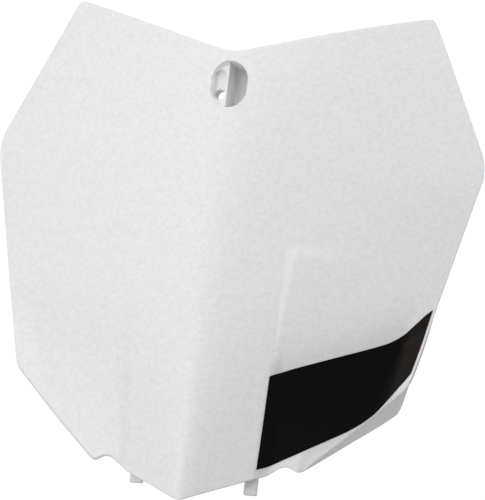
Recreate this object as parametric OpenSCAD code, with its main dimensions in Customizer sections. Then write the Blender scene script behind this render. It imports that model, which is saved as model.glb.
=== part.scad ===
/* [Board outline] */
// Half width between the centre line and the widest corner
half_w = 125.4; // [110:0.1:140]
// Height of the widest corner below the notch at the top
wide_h = 44.4; // [35:0.1:55]
// Rounding radius of the widest corners
wide_round = 25; // [8:1:34]
// Half distance between the two upper ears
ear_x = 90.2; // [80:0.1:100]
// Rise of each ear above the notch
ear_rise = 30.2; // [20:0.1:40]
// Rounding of the ear corners
ear_round = 3.5; // [2:0.5:20]
// Distance from the notch down to the bottom tip
tip_h = 226.3; // [205:0.1:245]
// Half width at the lower side corner
corner_x = 100.4; // [94:0.1:108]
// Height of the lower side corner below the notch
corner_h = 156.8; // [145:0.1:165]
// Half width at the small tab beside the keel
tab_x = 52.4; // [48:0.1:58]
// Height of that tab below the notch
tab_h = 203.3; // [197:0.1:210]

/* [Board form] */
// Wall thickness of the moulding
wall = 2.4; // [1.8:0.1:3.5]
// Angle by which the fitted board leans back
lean = 22.7; // [10:0.1:35]
// Sweep of the middle of the board, as a slope
mid_slope = 0.30; // [0.15:0.01:0.4]
// Sweep of the keel beside the bottom tip, as a slope
keel_slope = 0.56; // [0.4:0.01:0.7]
// Sweep of the wings at mid height, as a slope
wing_slope = 0.31; // [0.2:0.01:0.4]
// Sweep of the cheeks at their foot, as a slope
foot_slope = 0.09; // [0:0.01:0.25]
// Added sweep of the wings at the ears
ear_slope = 0.20; // [0:0.01:0.4]
// Half width of the middle panel at the top of the cheek, out to its crease
crease_x = 36; // [32:0.5:40]
// Narrowing of the middle panel towards the foot, as a slope
crease_lean = 0.055; // [0:0.005:0.1]
// Height of the cheek's upper line at the crease, below the notch
cheek_h = 158.6; // [150:0.1:166]
// Rise of the cheek's upper line towards the side, as a slope
cheek_slope = 0.44; // [0.3:0.01:0.6]
// Depth by which each lower cheek is set back
cheek_in = 3.4; // [1:0.1:6]
// Half distance between the bends beyond which the cheeks come forward again
bend_x = 88; // [80:1:94]
// Half distance to the deepest place of the skirts
skirt_x = 91; // [80:1:95]
// Depth of the skirt there, behind the cheek's lower edge
skirt_depth = 19.5; // [8:0.5:26]
// Bend radius between cheek and skirt
skirt_round = 1.8; // [1:0.1:5]

/* [Screw recess] */
// Width of the recess at the front
recess_w = 18.5; // [16:0.1:24]
// Height of the recess at the front
recess_h = 23; // [20:0.1:28]
// Distance of the recess centre below the notch
recess_drop = 16.9; // [15:0.1:24]
// Draft of the recess on each side
recess_draft = 1.2; // [0.5:0.1:2]
// Depth of the land that carries the screw slot
land_depth = 2.5; // [2:0.1:6]
// Depth of the well beside the land
well_depth = 15; // [11:0.5:20]
// Width of the slot for the screw head
slot_w = 6; // [5.6:0.1:7]
// Height of the slot for the screw head
slot_h = 15; // [12:0.5:16]
// Depth of the slot below the land
slot_depth = 2; // [1:0.5:5]
// Radius of the screw hole
hole_r = 2.6; // [1.5:0.05:2.7]
// Length of the screw hole behind the slot
hole_len = 6; // [2:0.1:8]
// Distance of the slot from the middle, to the left
slot_off = 5.2; // [4.6:0.1:5.4]

/* [Fender lugs] */
// Half distance between the two lugs
lug_x = 29.3; // [24:0.1:32]
// Width of each lug
lug_w = 6.3; // [4:0.1:8]
// Thickness of each lug
lug_t = 3.2; // [2.5:0.1:5]
// Reach of the right lug below the board's lower edge
lug_reach = 5.4; // [3:0.1:12]
// Amount by which the left lug is shorter
lug_less = 3; // [0:0.5:3]
// Height of the root blocks above the board's lower edge
lug_root = 18.5; // [14:0.5:24]
// Clear gap between the board's back and the lug
lug_gap = 5; // [3:0.5:8]

/* [Decal] */
// Thickness of the self-adhesive film
film_t = 0.3; // [0.2:0.05:0.5]
// Paper-thin gap between film and moulding
film_gap = 0.2; // [0.1:0.05:0.3]
// Margin of bare plastic beside the side edge
film_margin = 1.3; // [1:0.1:3]
// Height of the film's upper right corner below the notch
film_corner_h = 117.1; // [112:0.1:122]

/* [Hidden] */

// Outline of one half, as heights below the notch.
// The widest corner is an arc that touches the wing's upper line and its side line.
wing_angle = atan2(wide_h + ear_rise, half_w - ear_x);
side_angle = atan2(corner_h - wide_h, corner_x - half_w);
reach = wide_round / cos((side_angle - wing_angle) / 2);
wide_cx = half_w - reach * sin((side_angle + wing_angle) / 2);
wide_ch = wide_h + reach * cos((side_angle + wing_angle) / 2);
arc_drop = function (x) sqrt(max(0, wide_round ^ 2 - max(0, x - wide_cx) ^ 2));

ear_line = function (x) -ear_rise * (sqrt(x * x + 36) - 6) / ear_x;
wing_line = function (x) -ear_rise + (wide_h + ear_rise) * (x - ear_x) / (half_w - ear_x);
top_edge = function (x)
    let (a = ear_line(x), b = wing_line(x))
    x > wide_cx + wide_round * sin(wing_angle) ? wide_ch - arc_drop(x)
    : (a + b + sqrt((a - b) ^ 2 + ear_round ^ 2)) / 2;
crease_h = tip_h - 17.6;
low_line = function (x) lookup(x, [
    [0, tip_h - 1.6],
    [2, tip_h - 2.0],
    [4, tip_h - 3.1],
    [crease_x - 3, crease_h],
    [tab_x - 9.6, tab_h - 1.9],
    [tab_x - 7.0, tab_h - 2.5],
    [tab_x - 5.4, tab_h - 2.4],
    [tab_x - 1, tab_h],
    [tab_x + 0.6, tab_h - 0.4],
    [tab_x + 6, tab_h - 5.3],
    [corner_x - 21.5, corner_h + 21.8],
    [corner_x - 2.5, corner_h + 2.4],
    [corner_x, corner_h],
    [half_w, wide_h]]);
low_edge = function (x)
    x > wide_cx + wide_round * sin(side_angle) ? wide_ch + arc_drop(x)
    : (low_line(abs(x - 1)) + low_line(x) + low_line(x + 1)) / 3;
side_x = function (h) half_w - (half_w - corner_x) * (h - wide_h) / (corner_h - wide_h);

// How far the front face lies behind the straight centre line.
ease = function (t) let (c = max(0, min(1, t))) c * c * (3 - 2 * c);
nose = function (h) max(3, 20 - 0.075 * h);
soft_abs = function (x, r) sqrt(x * x + r * r) - r;
ramp = function (u, r) (u + sqrt(u * u + r * r)) / 2;
in_slope = function (h) mid_slope + (keel_slope - mid_slope) * ease((h - 110) / 105);
out_slope = function (h)
    wing_slope + (foot_slope - wing_slope) * ease((h - 130) / 90) + ear_slope * max(0, (60 - h) / 90) ^ 1.5;
crease_r = function (h) 2 + 26 * (1 - ease((h - 60) / 95));
crease_at = function (h) crease_x - crease_lean * (h - cheek_h);
cheek_top = function (x) cheek_h - cheek_slope * (x - crease_x);
bend_at = function (h) bend_x - 0.26 * (h - corner_h);
inset = function (x, h)
    cheek_in * ease((h - cheek_top(x) + 22) / 30)
        * ease((x - crease_at(h) + 2) / (2 + 0.5 * crease_r(h)))
        * max(0, min(1, (side_x(h) - x) / max(1, side_x(h) - bend_at(h))));
depth = function (x, h)
    let (ax = abs(x), r = crease_r(h), u = crease_at(h))
    in_slope(h) * soft_abs(ax, nose(h))
        + (out_slope(h) - in_slope(h)) * (ramp(ax - u, r) - ramp(-u, r))
        + inset(ax, h);

// Skirt depth along the lower edge of one cheek, down to a plain edge elsewhere.
edge_lip = wall + 0.4;
skirt = function (x)
    let (a = (x - tab_x) / (skirt_x - tab_x), b = (corner_x - x) / (corner_x - skirt_x),
         both = (a + b - sqrt((a - b) ^ 2 + 0.02)) / 2)
    edge_lip + (skirt_depth - wall) * ramp(both, 0.05);

// Columns of the half board, closer where the outline turns.
half_cols = [
    0, 2, 4, 8, 13, 18, 23, 27, crease_x - 6, crease_x - 4, crease_x - 2, crease_x,
    crease_x + 3, crease_x + 5,
    tab_x - 9.6, tab_x - 7, tab_x - 5.4, tab_x - 3, tab_x - 1, tab_x + 0.6, tab_x + 3, tab_x + 6,
    tab_x + 11, tab_x + 16, tab_x + 21, corner_x - 21.5, corner_x - 17, corner_x - 12.5, skirt_x,
    corner_x - 7, corner_x - 4.5, corner_x - 2.5, corner_x, corner_x + 4, corner_x + 8, corner_x + 12.5,
    corner_x + 17, for (a = [65, 71, 77, 83, 88]) wide_cx + wide_round * sin(a)];
last = len(half_cols) - 1;
cols = [for (i = [-last : last]) sign(i) * half_cols[abs(i)]];
rows = 20;
bend_steps = 2;

// Row j of a column: rows stand closer over the roll above the cheek.
row_at = function (x, t, b, j)
    let (roll = max(t + 0.4 * (b - t), min(cheek_top(x) - 22, t + 0.7 * (b - t))),
         foot = max(roll + 0.15 * (b - t), min(cheek_top(x) + 8, t + 0.88 * (b - t))))
    lookup(j, [[0, t], [8, roll], [15, foot], [rows, b]]);

// One column as points [height, depth]: down the face, round the bend and along the skirt.
// With inner 0 it is the outer side of the wall, and with inner 1 the inner side.
column = function (x, inner)
    let (ax = abs(x), f = skirt(ax), r = min(skirt_round, f * 0.8), in = inner * wall,
         t = top_edge(ax), b = low_edge(ax), b1 = max(t + 1, b - r), d1 = depth(x, b1) + in,
         b2 = b - in * (0.45 + 0.55 * ease((f - edge_lip) / wall)),
         turn = inner == 0 ? r : max(r, wall) - wall)
    concat(
        [for (j = [0 : rows]) let (h = row_at(ax, t, b1, j)) [h, depth(x, h) + in]],
        [for (j = [1 : bend_steps])
            let (a = 90 * j / bend_steps) [b1 + (b2 - b1) * sin(a), d1 + turn * (1 - cos(a))]],
        [[b2, depth(x, b1) + f]]);

place = function (x, q) [x, q[1], -q[0]];

// Closed skin between a grid of front points and a grid of back points.
module skin(front, back) {
    n = len(front);
    m = len(front[0]);
    pts = concat([for (c = front) each c], [for (c = back) each c]);
    f = function (i, j) i * m + j;
    g = function (i, j) n * m + i * m + j;
    quad = function (a, b, c, d) [[a, b, c], [a, c, d]];
    faces = concat(
        [for (i = [0 : n - 2]) for (j = [0 : m - 2]) each concat(
            quad(f(i, j), f(i + 1, j), f(i + 1, j + 1), f(i, j + 1)),
            quad(g(i, j), g(i, j + 1), g(i + 1, j + 1), g(i + 1, j)))],
        [for (i = [0 : n - 2]) each concat(
            quad(f(i, 0), g(i, 0), g(i + 1, 0), f(i + 1, 0)),
            quad(f(i, m - 1), f(i + 1, m - 1), g(i + 1, m - 1), g(i, m - 1)))],
        [for (j = [0 : m - 2]) each concat(
            quad(f(0, j), f(0, j + 1), g(0, j + 1), g(0, j)),
            quad(f(n - 1, j), g(n - 1, j), g(n - 1, j + 1), f(n - 1, j + 1)))]);
    polyhedron(pts, faces);
}

// The board from its columns of points.
module shell() {
    skin([for (x = cols) [for (q = column(x, 0)) place(x, q)]],
         [for (x = cols) [for (q = column(x, 1)) place(x, q)]]);
}

// Upright round-ended slot, drawn as a prism that runs back from y0 to y1.
module stadium(w, h) {
    for (s = [-1, 1]) translate([0, s * (h - w) / 2]) circle(d = w, $fn = 48);
    square([w, h - w], center = true);
}
module slot_prism(w, h, y0, y1) {
    translate([0, y1, 0]) rotate([90, 0, 0]) linear_extrude(y1 - y0) stadium(w, h);
}
module tapered_slot(grow, y0, y1) {
    w = recess_w + 2 * grow;
    h = recess_h + 2 * grow;
    hull() {
        slot_prism(w, h, y0, y0 + 0.1);
        slot_prism(w - 2 * recess_draft, h - 2 * recess_draft, y1 - 0.1, y1);
    }
}

// The recess runs square to the face; its y axis points into the board.
front_room = 4;
seat_depth = land_depth + slot_depth + hole_len;
land_rim = 0.9;
land_edge = -slot_off + slot_w / 2 + land_rim;

module recess_cup() {
    tapered_slot(wall, -front_room, seat_depth);
    intersection() {
        tapered_slot(wall, -front_room, well_depth + wall);
        translate([land_edge - wall, -front_room, -recess_h]) cube([recess_w * 2, 60, recess_h * 2]);
    }
}

module recess_cut() {
    tapered_slot(0, -front_room - 1, land_depth);
    intersection() {
        tapered_slot(0, -front_room - 1, well_depth);
        translate([land_edge, -front_room - 2, -recess_h])
            cube([recess_w, well_depth + front_room + 3, 2 * recess_h]);
    }
    translate([-slot_off, 0, 0]) slot_prism(slot_w, slot_h, 0, land_depth + slot_depth);
    translate([-slot_off, seat_depth + 1, -(slot_h - slot_w) / 2])
        rotate([90, 0, 0]) cylinder(r = hole_r, h = seat_depth + 1, $fn = 48);
}

// One lug: a root block that follows the board's back, and a tongue that reaches below the edge.
lug_edge_h = low_edge(lug_x);
lug_root_h = lug_edge_h - lug_root;
lug_front = depth(lug_x, lug_root_h) + wall + lug_gap;
module lug(less) {
    x0 = lug_x - lug_w / 2;
    x1 = lug_x + lug_w / 2;
    sink = wall * 0.5;
    block_h = 16;
    end_h = lug_edge_h + lug_reach - less;
    d0 = depth(x0, lug_root_h - block_h / 2) + sink;
    d1 = depth(x1, lug_root_h - block_h / 2) + sink;
    translate([0, 0, -lug_root_h]) linear_extrude(block_h, convexity = 2)
        polygon([[x0, d0], [x1, d1], [x1, lug_front + lug_t], [x0, lug_front + lug_t]]);
    translate([x0, lug_front, -end_h]) cube([lug_w, lug_t, end_h - lug_root_h + 1]);
}

// Turns the drawing into the fitted board: screw hole at the origin, top leaning back.
module fitted() {
    rotate([-lean, 0, 0])
        translate([slot_off, -land_depth - slot_depth - hole_len / 2, recess_drop + (slot_h - slot_w) / 2])
            children();
}

module number_board() {
    color("white") fitted() difference() {
        union() {
            shell();
            lug(0);
            mirror([1, 0, 0]) lug(lug_less);
            intersection() {
                translate([0, 0, -recess_drop]) recess_cup();
                translate([-recess_w, wall / 2, -3 * recess_h]) cube([recess_w * 2, 60, recess_h * 4]);
            }
        }
        translate([0, 0, -recess_drop]) recess_cut();
    }
}

// Film on the right cheek. Its columns run from an upper chain of [side, height] to a lower one.
film_end_h = corner_h - 7.9;
film_top = [
    [crease_x - 0.8, cheek_h], [corner_x - 17.6, corner_h - 19.3], [corner_x - 8.7, corner_h - 24.4],
    [corner_x - 1.4, corner_h - 31.4], [corner_x + 3.5, corner_h - 36.8],
    [side_x(film_corner_h) - film_margin, film_corner_h]];
film_low = [
    [crease_x - 3.1, tip_h - 22], [tab_x - 7.7, tab_h - 5.1], [tab_x + 2.9, tab_h - 11.1],
    [tab_x + 13.5, tab_h - 17.1], [corner_x - 24.8, corner_h + 23.5],
    [corner_x - 16.6, corner_h + 16.4], [corner_x - 11.6, corner_h + 10.5], [corner_x - 7.6, corner_h + 3.9],
    [corner_x - 2, corner_h - 3.9], [side_x(film_end_h) - film_margin, film_end_h]];
film_steps = 26;
film_rows = 12;

// Point of the film: i of film_steps to the side, j of film_rows down, k in front of the face.
film_point = function (i, j, k)
    let (n = len(film_top) - 1, m = len(film_low) - 1, s = i / film_steps, v = j / film_rows,
         xt = film_top[0][0] + s * (film_top[n][0] - film_top[0][0]),
         xb = film_low[0][0] + s * (film_low[m][0] - film_low[0][0]),
         t = lookup(xt, film_top), b = min(lookup(xb, film_low), low_edge(xb) - skirt_round - film_gap),
         x = xt + (xb - xt) * v, h = t + (b - t) * v)
    place(x, [h, depth(x, h) - k]);

module side_decal() {
    grid = function (k) [for (i = [0 : film_steps]) [for (j = [0 : film_rows]) film_point(i, j, k)]];
    color("#141214") fitted() skin(grid(film_gap + film_t), grid(film_gap));
}

number_board();
side_decal();
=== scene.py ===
# %% [markdown]
# A front number board for an off-road motorbike
#
# The real thing is one injection moulding in white polypropylene with a black adhesive film on
# its right cheek. A screw in the recess near the top holds it to the steering clamp, and two lugs
# at the foot drop into the front fender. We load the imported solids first, because they fix every
# size and place. All the looks are then worked out as surfaces in the same frame, in metres.

import bpy
import numpy as np
from mathutils import Matrix

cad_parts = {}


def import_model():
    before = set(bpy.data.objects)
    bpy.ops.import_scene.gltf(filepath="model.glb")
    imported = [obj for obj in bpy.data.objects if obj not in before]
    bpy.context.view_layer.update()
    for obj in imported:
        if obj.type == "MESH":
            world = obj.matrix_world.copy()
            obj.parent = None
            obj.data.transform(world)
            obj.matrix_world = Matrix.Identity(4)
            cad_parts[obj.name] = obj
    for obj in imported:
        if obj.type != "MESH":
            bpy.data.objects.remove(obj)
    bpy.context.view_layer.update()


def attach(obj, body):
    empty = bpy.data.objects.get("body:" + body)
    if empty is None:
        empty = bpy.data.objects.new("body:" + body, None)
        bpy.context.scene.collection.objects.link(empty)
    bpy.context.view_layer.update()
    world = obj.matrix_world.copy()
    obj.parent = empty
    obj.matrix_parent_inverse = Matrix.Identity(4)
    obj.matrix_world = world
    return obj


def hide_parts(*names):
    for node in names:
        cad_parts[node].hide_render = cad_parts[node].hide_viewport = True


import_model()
scene = bpy.context.scene

# %% [markdown]
# Driving sizes
#
# A designer keeps a few driving sizes and works everything else out from them. These are the
# sizes of the moulding in millimetres. Heights run down from the notch in the top edge along the
# straight centre line, and depths run back from that line.

# %% Driving sizes of the board
MM = 0.001
half_w, wide_h, wide_round = 125.4, 44.4, 25.0
ear_x, ear_rise, ear_round = 90.2, 30.2, 3.5
tip_h = 226.3
corner_x, corner_h = 100.4, 156.8
tab_x, tab_h = 52.4, 203.3
wall = 2.4
lean = np.radians(22.7)
mid_slope, keel_slope = 0.30, 0.56
wing_slope, foot_slope, ear_slope = 0.31, 0.09, 0.20
crease_x, crease_lean, facet_slope = 36.0, 0.055, 0.24
cheek_h, cheek_slope, cheek_in, soft_cheek_in, film_cheek_in = 158.6, 0.44, 3.4, 2.5, 4.8
bend_x, bevel_slope = 88.0, 0.42
skirt_x, skirt_depth, skirt_round = 91.0, 19.5, 1.8
print("board:", 2 * half_w, "mm between the widest corners,", tip_h, "mm from notch to tip")

# %% Driving sizes of the recess
recess_w, recess_h, recess_drop, recess_draft = 18.5, 23.0, 16.9, 1.2
land_depth, well_depth = 2.5, 15.0
slot_w, slot_h, slot_depth, slot_off = 6.0, 15.0, 2.0, 5.2
hole_r, hole_len = 2.6, 6.0
print("screw hole:", 2 * hole_r, "mm across and", hole_len, "mm long")

# %% [markdown]
# From the drawing to the world
#
# The drawing lies in its own plane: x to the side, h down the centre line, d back from it. The
# fitted board leans back, and its screw hole is the origin. One shift and one turn about the x
# axis do both, so every point of every piece goes through the same small function.

# %% Drawing plane to world
hole_h = recess_drop + (slot_h - slot_w) / 2
hole_at = np.array([-slot_off, land_depth + slot_depth + hole_len / 2, -hole_h])


def world(x, h, d):
    """Drawing points to metres: shift the hole to the origin, then turn back by the lean about x."""
    y, z = d - hole_at[1], -h - hole_at[2]
    back, rise = y * np.cos(lean) + z * np.sin(lean), z * np.cos(lean) - y * np.sin(lean)
    return MM * np.stack([x - hole_at[0] + 0 * y, back, rise], axis=-1)


print("notch:", world(0.0, 0.0, 0.0), "tip:", world(0.0, tip_h, 0.0))

# %% [markdown]
# The camera
#
# The camera stands to the viewer's right of the fitted board and a little above. The board's mirror
# pairs fix the view: the lines that join left and right corners all run the same way in the
# picture, and the centre line runs another way. A long lens from nine metres keeps both sets
# nearly parallel, as they are in the photograph.

# %% Place the camera
photo_w = 485
view_azimuth, view_elevation = np.radians(18.0), np.radians(10.0)
camera_distance = 9.0
pixels_per_mm = 2.0526
aim_right, aim_up = 4.68, -97.3

toward = np.array([np.sin(view_azimuth) * np.cos(view_elevation),
                   -np.cos(view_azimuth) * np.cos(view_elevation), np.sin(view_elevation)])
right = np.array([np.cos(view_azimuth), np.sin(view_azimuth), 0.0])
up = np.cross(toward, right)
target = world(0.0, 0.0, 0.0) + MM * (aim_right * right + aim_up * up)

camera = bpy.data.objects.new("camera", bpy.data.cameras.new("camera"))
scene.collection.objects.link(camera)
stand = np.stack([right, up, toward, target + camera_distance * toward], axis=1)
camera.matrix_world = Matrix([[*row] for row in stand] + [[0, 0, 0, 1]])
camera.data.sensor_fit = "HORIZONTAL"
camera.data.sensor_width = 36.0
camera.data.lens = pixels_per_mm / MM * camera_distance * camera.data.sensor_width / photo_w
camera.data.clip_end = 50.0
scene.camera = camera
print("lens:", round(camera.data.lens, 1), "mm")

# %% [markdown]
# The form of the face
#
# The face is one height field: for each place (x, h) a formula gives how far the plastic lies
# behind the centre line. A rounded V makes the keel, a second slope sweeps the wings back, a
# crease divides them, and a smooth step sets the two lower cheeks back. Both halves share the V,
# the crease and the wing. The cheeks differ: the film covers a deep, tight step on the right, and
# the bare step on the left is long and soft. A formula lets any number of grid lines sample it.


# %% Smooth steps and rounded corners
def ease(t):
    """Smooth step: 3t^2 - 2t^3 between 0 and 1."""
    c = np.clip(t, 0, 1)
    return c * c * (3 - 2 * c)


def soft_abs(x, r):
    """Rounded absolute value: sqrt(x^2 + r^2) - r."""
    return np.sqrt(x * x + r * r) - r


def ramp(u, r):
    """Rounded ramp: zero below u = 0 and u above it, blended over about r."""
    return (u + np.sqrt(u * u + r * r)) / 2


print("rounded corner of radius 10 at 0 and 10:", soft_abs(0.0, 10.0), round(soft_abs(10.0, 10.0), 2))


# %% Crease and side edge
def crease_at(h):
    """Half width of the middle panel, a little narrower towards the foot."""
    return crease_x - crease_lean * (h - cheek_h)


def crease_radius(x, h):
    """Radius of the crease: broad above, 2 mm at the right cheek and 9 mm at the left one."""
    foot = np.where(x > 0, 2.0, 9.0)
    return foot + (28 - foot) * (1 - ease((h - 60) / 95))


def side_x(h):
    """Straight side edge between the widest corner and the lower side corner."""
    return half_w - (half_w - corner_x) * (h - wide_h) / (corner_h - wide_h)


print("side edge at the cheek's upper line:", round(side_x(cheek_h), 1), "mm from the middle")

# %% [markdown]
# Where the film ends
#
# The film's upper and lower edge are chains of places tied to the crease, the tab and the side
# corner. They come before the height field, because the face's foot tips back from the lower one.

# %% Upper and lower chain of the film
film_margin, film_top_h, film_low_h = 1.3, 117.1, 148.9
film_top_chain = np.array([
    [crease_x - 0.8, cheek_h], [crease_x + 1.4, cheek_h - 1.7], [crease_x + 5, cheek_h - 3.7],
    [corner_x - 17.6, corner_h - 19.0], [corner_x - 8.7, corner_h - 23.2],
    [corner_x - 1.4, corner_h - 30.0], [corner_x + 3.5, corner_h - 36.0],
    [side_x(film_top_h) - film_margin, film_top_h]])
film_low_chain = np.array([
    [crease_x - 3.1, 204.3], [crease_x + 3, 200.2], [tab_x - 7.7, 197.2], [tab_x + 2.9, 191.2],
    [tab_x + 13.5, 185.2], [corner_x - 24.8, 179.5], [corner_x - 16.6, corner_h + 15.8],
    [corner_x - 11.6, corner_h + 9.9], [corner_x - 7.6, corner_h + 3.5], [corner_x - 2, corner_h - 3.9],
    [side_x(film_low_h) - film_margin, film_low_h]])
print("film chains:", len(film_top_chain), "and", len(film_low_chain), "places")

# %% [markdown]
# The cheeks and the skirt
#
# Each cheek is set back by a roll: its slope builds up slowly and then dies away, which is what
# draws a soft shadow above the step. It fades out at the crease and at the side edge. The skirt
# is the return behind the lower edge, deepest near the side corner.


# %% Step of the cheeks and depth of the skirt
film_roll, soft_roll = (26, 4), (50, 42)
bend_lean = 0.26


def roll(u, start, end):
    """Height from 0 to 1: its slope grows with the square from -start to 0, then falls evenly until end."""
    rising = np.clip(u + start, 0, start) ** 3 / start**2 / 3
    falling = (end - (end - np.clip(u, 0, end)) ** 2 / end) / 2
    return (rising + falling) / (start / 3 + end / 2)


def inset(x, h):
    """The cheek's step: full depth below its upper line, and nothing again at the side edge."""
    ax, right = np.abs(x), x > 0
    past = h - cheek_h + cheek_slope * (ax - crease_x)
    below = np.where(right, roll(past, *film_roll), roll(past, *soft_roll))
    outside = ease((ax - crease_at(h) + 2) / (6 + 0.2 * crease_radius(x, h)))
    bend = bend_x - bend_lean * (h - corner_h)
    fade = np.clip((side_x(h) - ax) / np.maximum(1, side_x(h) - bend), 0, 1)
    deep = np.where(right, film_cheek_in, soft_cheek_in)
    return deep * below * outside * fade


def skirt(x):
    """Depth of the skirt: it grows from the tab, and falls to nothing at the side corner."""
    rise, fall = (x - tab_x) / (skirt_x - tab_x), (corner_x - x) / (corner_x - skirt_x)
    both = (rise + fall - np.sqrt((rise - fall) ** 2 + 0.02)) / 2
    return 0.6 + skirt_depth * ramp(both, 0.05)


print("deepest skirt:", round(float(skirt(skirt_x)), 1), "mm")


# %% The whole height field
bevel_most = 1.6


def under_bevel(x, h):
    """Right foot below the film: the face tips back towards its edge, by bevel_most at most."""
    start = np.interp(x, film_low_chain[:, 0], film_low_chain[:, 1]) + 0.3
    between = ease((x - tab_x + 1) / 6) * (1 - ease((x - corner_x + 8) / 8))
    lean_back = bevel_slope * ramp(h - start, 0.4) * between
    return bevel_most * np.tanh(lean_back / bevel_most)


def crease_facet(x, h):
    """Narrow facet beside the crease that faces the front: wide at its upper end, a line at the cheek."""
    along = np.clip((h - 97) / 50, 0, 1)
    width = 5.6 - 5.0 * along
    right_edge = crease_at(h) + 3.2 - 2.6 * along
    rise = facet_slope * width * np.clip((x - right_edge) / width + 1, 0, 1)
    return rise * ease((h - 92) / 8) * (1 - ease((h - 150) / 10)) * (1 - ease((x - right_edge) / 35))


def depth(x, h):
    """Rounded V, plus the wing's change of slope past the crease, the cheek and the bevel, less the facet."""
    ax = np.abs(x)
    nose = np.maximum(3, 20 - 0.075 * h)
    inner = mid_slope + (keel_slope - mid_slope) * ease((h - 110) / 105)
    outer = wing_slope + (foot_slope - wing_slope) * ease((h - 130) / 90)
    outer = outer + ear_slope * np.maximum(0, (60 - h) / 90) ** 1.5
    r, u = crease_radius(x, h), crease_at(h)
    swept = inner * soft_abs(ax, nose) + (outer - inner) * (ramp(ax - u, r) - ramp(-u, r))
    return swept + inset(x, h) - crease_facet(x, h) + under_bevel(x, h)


print("widest corner lies", round(float(depth(half_w, wide_h)), 1), "mm behind the centre line")


# %% [markdown]
# The outline
#
# Two chains bound the face: an upper one from the notch over the ear to the widest corner, and a
# lower one from there round the cheek to the tip. Both are functions of x, so a column of grid
# points can simply run from one to the other.


# %% Upper and lower edge
turn = (np.arctan2(wide_h + ear_rise, half_w - ear_x), np.arctan2(corner_h - wide_h, corner_x - half_w))
reach = wide_round / np.cos((turn[1] - turn[0]) / 2)
wide_mid = np.array([half_w, wide_h]) - reach * np.array([np.sin(sum(turn) / 2), -np.cos(sum(turn) / 2)])
end_x = wide_mid[0] + wide_round


def top_edge(x):
    """Two straight lines with a corner rounded like a hyperbola, then the arc of the widest corner."""
    a = -ear_rise * (np.sqrt(x * x + 36) - 6) / ear_x
    b = -ear_rise + (wide_h + ear_rise) * (x - ear_x) / (half_w - ear_x)
    line = (a + b + np.sqrt((a - b) ** 2 + ear_round**2)) / 2
    arc = wide_mid[1] - np.sqrt(np.maximum(0, wide_round**2 - np.maximum(0, x - wide_mid[0]) ** 2))
    return np.where(x > wide_mid[0] + wide_round * np.sin(turn[0]), arc, line)


low_chain = np.array([
    [0, tip_h - 1.6], [2, tip_h - 2.0], [4, tip_h - 3.1], [crease_x - 3, tip_h - 17.6],
    [tab_x - 9.6, tab_h - 1.9], [tab_x - 7.0, tab_h - 2.5], [tab_x - 5.4, tab_h - 2.4], [tab_x - 1, tab_h],
    [tab_x + 0.6, tab_h - 0.4], [tab_x + 6, tab_h - 5.3], [corner_x - 21.5, corner_h + 21.8],
    [corner_x - 2.5, corner_h + 2.4], [corner_x, corner_h], [half_w, wide_h]])


def low_edge(x):
    """The lower chain, its corners rounded by averaging near places, then the widest corner's arc."""
    spread = np.linspace(-1.5, 1.5, 7)
    line = np.mean([np.interp(np.abs(x + s), low_chain[:, 0], low_chain[:, 1]) for s in spread], axis=0)
    arc = wide_mid[1] + np.sqrt(np.maximum(0, wide_round**2 - np.maximum(0, x - wide_mid[0]) ** 2))
    return np.where(x > wide_mid[0] + wide_round * np.sin(turn[1]), arc, line)


print("tip at", round(float(low_edge(0.0)), 1), "mm, side ends at", round(float(end_x), 1), "mm")


# %% [markdown]
# From a grid of points to a mesh
#
# A surface with two parameters is a rectangular grid of points. Four neighbours make one face, so
# the faces follow from the grid's size alone, and whole arrays go into the mesh at once.


# %% Mesh helpers
def new_object(name, points, faces):
    """Mesh object at the origin, unturned, with its place in its points."""
    mesh = bpy.data.meshes.new(name)
    mesh.from_pydata(np.asarray(points).tolist(), [], [list(map(int, f)) for f in faces])
    mesh.validate()
    obj = bpy.data.objects.new(name, mesh)
    scene.collection.objects.link(obj)
    return obj


def grid_faces(n, m):
    """Faces of an n by m grid: each joins corner (i, j) to its neighbours in turn."""
    k = np.arange(n * m).reshape(n, m)
    return np.stack([k[:-1, :-1], k[1:, :-1], k[1:, 1:], k[:-1, 1:]], axis=-1).reshape(-1, 4)


def settle(obj):
    """Apply every modifier, so that the finished shape is plain geometry."""
    graph = bpy.context.evaluated_depsgraph_get()
    finished = bpy.data.meshes.new_from_object(obj.evaluated_get(graph))
    obj.modifiers.clear()
    obj.data = finished
    finished.name = obj.name
    return obj


def join_solid(obj, other, how):
    """Boolean of two closed meshes: UNION adds the other one and DIFFERENCE cuts it away."""
    tool = obj.modifiers.new("join", "BOOLEAN")
    tool.operation, tool.solver, tool.object = how, "EXACT", other
    settle(obj)
    bpy.data.objects.remove(other)
    return obj


# %% [markdown]
# The moulded shell
#
# Each column of the grid runs down the face, round the bend below the cheek and back along its
# skirt. Solidify then gives the sheet its wall towards the back, and a small bevel breaks the
# edges as a mould's parting line does. A sheet with a wall is closer to the real part than a
# carved block, because every place keeps the same thickness.


# %% Face grid and wall
def rim(x):
    """Depth of the skirt, less what the scene moves the face back, and the radius of the bend before it."""
    b = low_edge(x)
    moved = inset(x, b) * (1 - cheek_in / np.where(x > 0, film_cheek_in, soft_cheek_in))
    f = np.maximum(0.6, skirt(np.abs(x)) - moved)
    return f, np.minimum(skirt_round, 0.8 * f)


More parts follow.
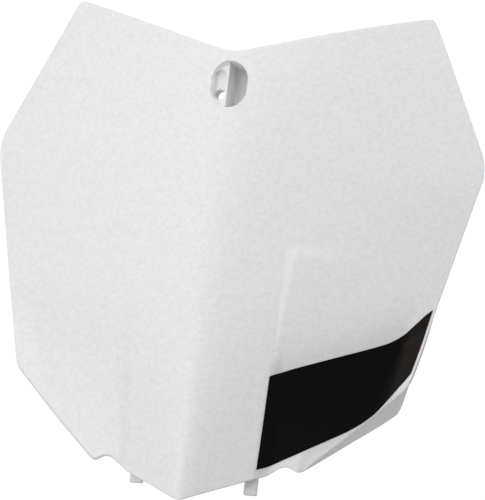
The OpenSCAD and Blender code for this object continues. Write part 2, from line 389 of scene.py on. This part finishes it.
def board_grid(columns, rows, bend_rows, skirt_rows):
    """Points of the outer side: face rows, a quarter turn at the lower edge, then the skirt."""
    on_arc = wide_mid[0] + wide_round * np.sin(np.radians([60, 65, 70, 75, 80, 84, 87, 89]))
    half = np.unique(np.concatenate([
        np.arange(0, crease_x - 5, 1.25), np.arange(crease_x - 5, crease_x + 6, 0.5),
        np.linspace(crease_x + 6, end_x - 4, columns), on_arc]))
    x = np.concatenate([-half[:0:-1], half])[:, None]
    ax = np.abs(x)
    t, b = top_edge(ax), low_edge(ax)
    f, r = rim(x)
    b1 = np.maximum(t + 1, b - r)
    d1 = depth(x, b1)
    down = np.linspace(0, 1, rows)[None, :]
    bent = np.radians(np.linspace(0, 90, bend_rows + 1)[1:])[None, :]
    back = np.linspace(0, 1, skirt_rows + 1)[1:][None, :]
    face_h = t + (b1 - t) * down
    h = np.concatenate([face_h, b1 + (b - b1) * np.sin(bent), b + 0 * back], axis=1)
    d = np.concatenate([depth(x, face_h), d1 + r * (1 - np.cos(bent)), d1 + r + (f - r) * back], axis=1)
    return world(x + 0 * h, h, d)


points = board_grid(columns=68, rows=120, bend_rows=6, skirt_rows=4)
n, m = points.shape[:2]
board = new_object("board_shell", points.reshape(-1, 3), grid_faces(n, m)[:, ::-1])
solid = board.modifiers.new("wall", "SOLIDIFY")
solid.thickness, solid.offset = wall * MM, -1
edge = board.modifiers.new("edges", "BEVEL")
edge.width, edge.segments, edge.limit_method, edge.angle_limit = 0.5 * MM, 3, "ANGLE", np.radians(50)
edge.use_clamp_overlap = True
settle(board)
print("shell:", n, "columns by", m, "rows,", len(board.data.polygons), "faces")

# %% [markdown]
# The recess for the screw
#
# The cup is a stack of round-ended slots that shrink a little as they go back, as the draft of a
# mould makes them. The left half of its floor is a raised land with the slot for the screw head;
# the right half drops away as a deeper well. The cup is added to the shell and its inside is cut
# out again, so that wall, rim and floor come out as one solid.


# %% Slots as stacked rings
def slot_ring(w, h, count):
    """Round-ended upright slot: a circle of width w whose two halves are pulled apart to height h."""
    a = np.linspace(0, 2 * np.pi, count, endpoint=False)
    return w / 2 * np.cos(a), w / 2 * np.sin(a) + np.sign(np.sin(a)) * (h - w) / 2


def stack(name, rings, centre_h=recess_drop, count=72):
    """Closed mesh through rings of (x centre, width, height, d), with one face at each end."""
    layers = []
    for x0, w, h, d in rings:
        rx, rz = slot_ring(w, h, count)
        layers.append(world(x0 + rx, centre_h - rz, d + 0 * rx))
    k = np.arange(len(rings) * count).reshape(len(rings), count)
    following = np.roll(k, -1, axis=1)
    side = np.stack([k[1:], following[1:], following[:-1], k[:-1]], axis=-1).reshape(-1, 4)
    return new_object(name, np.concatenate(layers), side.tolist() + [k[0].tolist(), k[-1][::-1].tolist()])


def drafted(grow, d0, d1, steps=6):
    """Rings of the recess, grown by a wall, from depth d0 to d1 with the draft spread over the way."""
    t = np.linspace(0, 1, steps)
    return [(0.0, recess_w + 2 * grow - 2 * recess_draft * s, recess_h + 2 * grow - 2 * recess_draft * s,
             d0 + (d1 - d0) * s) for s in t]


def block(name, x0, x1, h0, h1, d0, d1):
    """Closed box in the drawing's own directions."""
    corner = np.array([[x, h, d] for x in (x0, x1) for h in (h0, h1) for d in (d0, d1)], float)
    faces = [[0, 1, 3, 2], [4, 6, 7, 5], [0, 4, 5, 1], [2, 3, 7, 6], [0, 2, 6, 4], [1, 5, 7, 3]]
    return new_object(name, world(corner[:, 0], corner[:, 1], corner[:, 2]), faces)


print("recess:", recess_w, "by", recess_h, "mm at the face")

# %% Cup, land, well and screw hole
seat_depth = land_depth + slot_depth + hole_len
land_rim = 0.9
land_edge = -slot_off + slot_w / 2 + land_rim
rim_round = 0.7

cup = stack("cup", drafted(wall, wall / 2, seat_depth))
well_wall = stack("well_wall", drafted(wall, wall / 2, well_depth + wall))
past_cup = {"h0": recess_drop - 30, "h1": recess_drop + 30, "d0": -5, "d1": 40}
join_solid(well_wall, block("left_half", -40, land_edge - wall, **past_cup), "DIFFERENCE")
join_solid(board, cup, "UNION")
join_solid(board, well_wall, "UNION")

mouth = [(0.0, recess_w + 2 * rim_round * (1 - np.sin(a)), recess_h + 2 * rim_round * (1 - np.sin(a)),
          rim_round * (1 - np.cos(a))) for a in np.radians(np.linspace(0, 90, 6))]
mouth = [(0.0, mouth[0][1], mouth[0][2], -3.0)] + mouth
join_solid(board, stack("mouth", mouth + drafted(0.0, rim_round + 0.1, land_depth)), "DIFFERENCE")

well = stack("well", drafted(0.0, 0.2, well_depth))
join_solid(well, block("land_side", -40, land_edge, **past_cup), "DIFFERENCE")
join_solid(board, well, "DIFFERENCE")
sunk = [(-slot_off, slot_w, slot_h, d) for d in (0.5, land_depth + slot_depth)]
join_solid(board, stack("slot", sunk), "DIFFERENCE")
screw = [(-slot_off, 2 * hole_r, 2 * hole_r, d) for d in (1.0, seat_depth + 1)]
join_solid(board, stack("screw_way", screw, hole_h), "DIFFERENCE")
print("with recess:", len(board.data.polygons), "faces")

# %% [markdown]
# The lugs
#
# Each lug is a tongue behind the lower edge, carried by a root block that follows the slope of
# the board's back. A real one is filleted by the mould, so its edges are broken with a bevel
# before the union.


# %% Two lugs at the foot
lug_x, lug_w, lug_t, lug_gap = 29.3, 6.3, 3.2, 5.0
lug_reach, lug_less, lug_root = 5.4, 3.0, 18.5


def lug(side):
    """Root block between the board's back and the tongue, and the tongue down past the edge."""
    root_h = low_edge(lug_x) - lug_root
    end_h = low_edge(lug_x) + lug_reach - (lug_less if side < 0 else 0)
    front = depth(lug_x, root_h) + wall + lug_gap
    x0, x1 = lug_x - lug_w / 2, lug_x + lug_w / 2
    near = [depth(side * x0, root_h - 8) + wall / 2, depth(side * x1, root_h - 8) + wall / 2]
    root = np.array([[x, h, d] for h in (root_h - 16, root_h) for x, d in
                     ((x0, near[0]), (x1, near[1]), (x1, front + lug_t), (x0, front + lug_t))])
    tongue = np.array([[x, h, d] for h in (root_h - 1, end_h) for x, d in
                       ((x0, front), (x1, front), (x1, front + lug_t), (x0, front + lug_t))])
    faces = np.array([[0, 1, 2, 3], [7, 6, 5, 4], [0, 4, 5, 1], [1, 5, 6, 2], [2, 6, 7, 3], [3, 7, 4, 0]])
    pair = []
    for name, c in (("root", root), ("tongue", tongue)):
        pair.append(new_object(name, world(side * c[:, 0], c[:, 1], c[:, 2]), faces[:, ::side]))
    soft = pair[1].modifiers.new("edges", "BEVEL")
    soft.width, soft.segments = 0.5 * MM, 3
    settle(pair[1])
    return pair


for side in (1, -1):
    for piece in lug(side):
        join_solid(board, piece, "UNION")
print("with lugs:", len(board.data.polygons), "faces")

# %% [markdown]
# The decal
#
# The film is cut from thin vinyl and follows the cheek, so it is a second grid on the same height
# field, lifted by the thickness of a film. Slanted columns run from its upper chain to its lower
# one, and where that meets the board's edge the film follows the bend back.


# %% Film on the right cheek
film_t, film_lift = 0.25, 0.06


def rounded(x, chain):
    """Height of a chain at x, averaged over 5 mm to each side, and over less towards its two ends."""
    near = 5 * np.clip(np.minimum(x - chain[0, 0], chain[-1, 0] - x) / 8, 0, 1)
    steps = near * np.linspace(-1, 1, 9)[:, None, None]
    return np.mean(np.interp(x + steps, chain[:, 0], chain[:, 1]), axis=0)


def film_grid(columns, rows):
    """Slanted columns from the film's upper chain to its lower one, lifted off the face."""
    s, v = np.linspace(0, 1, columns)[:, None], np.linspace(0, 1, rows)[None, :]
    x0 = film_top_chain[0, 0] + s * (film_top_chain[-1, 0] - film_top_chain[0, 0])
    x1 = film_low_chain[0, 0] + s * (film_low_chain[-1, 0] - film_low_chain[0, 0])
    t = rounded(x0, film_top_chain)
    b = np.minimum(rounded(x1, film_low_chain), low_edge(x1) - 0.35 * rim(x1)[1])
    x, h = x0 + (x1 - x0) * v, t + (b - t) * v
    r = rim(x)[1]
    over = np.clip(h - low_edge(x) + r, 0, 0.85 * r)
    return x, h, world(x, h, depth(x, h) + r - np.sqrt(r * r - over * over) - film_lift - film_t)


film_x, film_h, points = film_grid(columns=140, rows=110)
n, m = points.shape[:2]
film = new_object("decal_film", points.reshape(-1, 3), grid_faces(n, m)[:, ::-1])
skin = film.modifiers.new("film", "SOLIDIFY")
skin.thickness, skin.offset = film_t * MM, -1
settle(film)
print("film:", n, "columns by", m, "rows")

# %% [markdown]
# Smooth shading
#
# A dense grid still shows its faces under a soft light, unless the normals are blended across
# them. Edges sharper than a given angle are marked, so that rims and floors stay crisp.

# %% Shade the pieces
for piece, crisp in ((board, 32), (film, 40)):
    piece.data.shade_smooth()
    piece.data.set_sharp_from_angle(angle=np.radians(crisp))
    print(piece.name, "keeps edges over", crisp, "degrees crisp")

# %% [markdown]
# White moulded plastic
#
# Polypropylene is a soft white with a broad, faint sheen and a very fine orange peel from the
# mould. Noise in Object coordinates gives the peel as bump, a slight change of roughness and a
# fine grain in the colour. A painted image would need seams, and noise in space has none.


# %% Helpers for materials
def new_material(name, colour, roughness):
    """Principled material with a plain colour and roughness, ready for its own detail."""
    mat = bpy.data.materials.new(name)
    mat.use_nodes = True
    shader = mat.node_tree.nodes["Principled BSDF"]
    shader.inputs["Base Color"].default_value = (*colour, 1)
    shader.inputs["Roughness"].default_value = roughness
    return mat, mat.node_tree, shader


def noise(tree, scale, detail):
    """Noise in Object coordinates; scale is in repeats for each metre."""
    place = tree.nodes.new("ShaderNodeTexCoord")
    tex = tree.nodes.new("ShaderNodeTexNoise")
    tex.inputs["Scale"].default_value, tex.inputs["Detail"].default_value = scale, detail
    tree.links.new(place.outputs["Object"], tex.inputs["Vector"])
    return tex.outputs["Fac"]


def spread(tree, value, low, high):
    """Map the middle of a noise to the range from low to high."""
    step = tree.nodes.new("ShaderNodeMapRange")
    for name, v in (("From Min", 0.3), ("From Max", 0.7), ("To Min", low), ("To Max", high)):
        step.inputs[name].default_value = v
    tree.links.new(value, step.inputs["Value"])
    return step.outputs["Result"]


def bump(tree, shader, value, height):
    """Tilt the shading as if the value, from 0 to 1, raised the surface by up to height metres."""
    node = tree.nodes.new("ShaderNodeBump")
    node.inputs["Strength"].default_value, node.inputs["Distance"].default_value = 1.0, height
    tree.links.new(value, node.inputs["Height"])
    tree.links.new(node.outputs["Normal"], shader.inputs["Normal"])


# %% White polypropylene
white, tree, shader = new_material("white_polypropylene", (0.80, 0.80, 0.80), 0.42)
tree.links.new(spread(tree, noise(tree, 180, 3), 0.38, 0.46), shader.inputs["Roughness"])
bump(tree, shader, noise(tree, 900, 2), 0.03 * MM)
grey = tree.nodes.new("ShaderNodeCombineColor")
for channel in ("Red", "Green", "Blue"):
    tree.links.new(spread(tree, noise(tree, 480, 3), 0.765, 0.835), grey.inputs[channel])
tree.links.new(grey.outputs["Color"], shader.inputs["Base Color"])
board.data.materials.append(white)
print("finish:", white.name)

# %% [markdown]
# Black vinyl film
#
# Printed vinyl is almost black and nearly flat. Past the cheek's bend it shows a brownish sheen,
# which is a reflection painted into its colour as a warmer tint. The film's own grid says where that
# is: an attribute runs from 0 on the flat to 1 past the bend, and mixes the black with the painted sheen.

# %% Black film with a painted sheen past the bend
# The second tint is a painted sheen: a brownish reflection put into the colour past the bend.
ink, sheen_ink = (0.0014, 0.0014, 0.0015), (0.0160, 0.0118, 0.0092)
# From 0 on the flat to 1 past the bend: where the painted sheen lies.
painted_sheen = np.clip((film_x - bend_x - 4 + 0.16 * (film_h - corner_h)) / 4 + 0.5, 0, 1).ravel()
layer = film.data.attributes.new("painted_sheen", "FLOAT", "POINT")
layer.data.foreach_set("value", np.tile(painted_sheen, 2))
black, tree, shader = new_material("black_vinyl_film", ink, 0.3)
shader.inputs["Specular IOR Level"].default_value = 0.05
# This attribute says where the painted sheen goes.
sheen_attribute = tree.nodes.new("ShaderNodeAttribute")
sheen_attribute.attribute_name = "painted_sheen"
tint = tree.nodes.new("ShaderNodeMix")
tint.data_type = "RGBA"
tint.inputs["A"].default_value, tint.inputs["B"].default_value = (*ink, 1), (*sheen_ink, 1)
tree.links.new(sheen_attribute.outputs["Fac"], tint.inputs["Factor"])
tree.links.new(tint.outputs["Result"], shader.inputs["Base Color"])
tree.links.new(spread(tree, noise(tree, 60, 2), 0.26, 0.36), shader.inputs["Roughness"])
bump(tree, shader, noise(tree, 300, 2), 0.02 * MM)
film.data.materials.append(black)
# The share printed is the part of the film that carries the painted sheen.
print("finish:", black.name, "stretched over", round(100 * float(painted_sheen.mean())), "% of it")

# %% [markdown]
# Light, floor and background
#
# A soft lamp in front and to the left, one above, one over the right wing and a grey sky light the
# board at a plain level. The sky is white only to the camera and to mirror and glass rays. The
# floor adds the missing part of white to its own lit grey for the same rays, so it looks white and
# still shows the shadow.


# %% Lamps
def lamp(name, direction, distance, size, watts):
    """Square area lamp that stands in the given direction from the board and faces it."""
    centre = np.array([0.0, 0.0, -0.09])
    z = np.array(direction, float) / np.linalg.norm(direction)
    x = np.cross([0, 0, 1], z)
    x = x / np.linalg.norm(x)
    y = np.cross(z, x)
    obj = bpy.data.objects.new(name, bpy.data.lights.new(name, "AREA"))
    obj.data.size, obj.data.energy = size, watts
    at = centre + distance * z
    obj.matrix_world = Matrix([[*row] for row in np.stack([x, y, z, at], axis=1)] + [[0, 0, 0, 1]])
    obj.visible_camera = False
    scene.collection.objects.link(obj)


sky_strength = 0.62
lamp("key", (-0.5, -0.87, 0.18), 0.6, 0.5, 1.22)
lamp("top", (0.0, -0.25, 0.97), 0.4, 0.35, 0.31)
lamp("rear", (0.3, 0.0, 0.95), 0.38, 0.4, 0.22)
print("lamps:", sorted(light.name for light in bpy.data.lights))


# %% White background
def seen_white(tree):
    """One for camera, mirror and glass rays and zero for every other ray, so only these see the white."""
    path = tree.nodes.new("ShaderNodeLightPath")
    total = path.outputs["Is Camera Ray"]
    for kind in ("Is Glossy Ray", "Is Transmission Ray"):
        either = tree.nodes.new("ShaderNodeMath")
        either.operation = "MAXIMUM"
        tree.links.new(total, either.inputs[0])
        tree.links.new(path.outputs[kind], either.inputs[1])
        total = either.outputs[0]
    return total


sky = bpy.data.worlds.new("studio")
scene.world = sky
sky.use_nodes = True
tree = sky.node_tree
light = tree.nodes["Background"]
plain = tree.nodes.new("ShaderNodeBackground")
for shade, level in ((light, sky_strength), (plain, 1.0)):
    shade.inputs["Color"].default_value, shade.inputs["Strength"].default_value = (1, 1, 1, 1), level
mix = tree.nodes.new("ShaderNodeMixShader")
for source, socket in ((seen_white(tree), 0), (light.outputs[0], 1), (plain.outputs[0], 2)):
    tree.links.new(source, mix.inputs[socket])
tree.links.new(mix.outputs[0], tree.nodes["World Output"].inputs["Surface"])
print("sky strength on the board:", sky_strength)

# %% Floor that keeps the shadow
floor_z, floor_half, floor_grey, full_white = -0.45, 20, 0.5, 1.02
square = [[floor_half * a, floor_half * b, floor_z] for a, b in ((-1, -1), (1, -1), (1, 1), (-1, 1))]
floor = new_object("floor", square, [[0, 1, 2, 3]])
ground, tree, shader = new_material("pale_floor", (floor_grey, floor_grey, floor_grey), 0.9)
strength = tree.nodes.new("ShaderNodeMath")
strength.operation = "MULTIPLY"
strength.inputs[1].default_value = full_white - floor_grey * sky_strength
glow = tree.nodes.new("ShaderNodeEmission")
both = tree.nodes.new("ShaderNodeAddShader")
for source, socket in ((seen_white(tree), strength.inputs[0]), (strength.outputs[0], glow.inputs["Strength"]),
                       (shader.outputs[0], both.inputs[0]), (glow.outputs[0], both.inputs[1]),
                       (both.outputs[0], tree.nodes["Material Output"].inputs["Surface"])):
    tree.links.new(source, socket)
floor.data.materials.append(ground)
scene.view_settings.view_transform = "Standard"
print("floor:", -floor_z, "m below the screw hole")

# %% [markdown]
# Tie the pieces to the frame
#
# The new meshes stand for the imported solids: they replace them in the picture and ride on the
# same body, while the solids stay for collision.

# %% Ride and replace
parts = ((board, "number_board", "white_plastic"), (film, "side_decal", "black_film"))
for piece, node, slot_name in parts:
    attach(piece, "root")
    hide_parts(node)
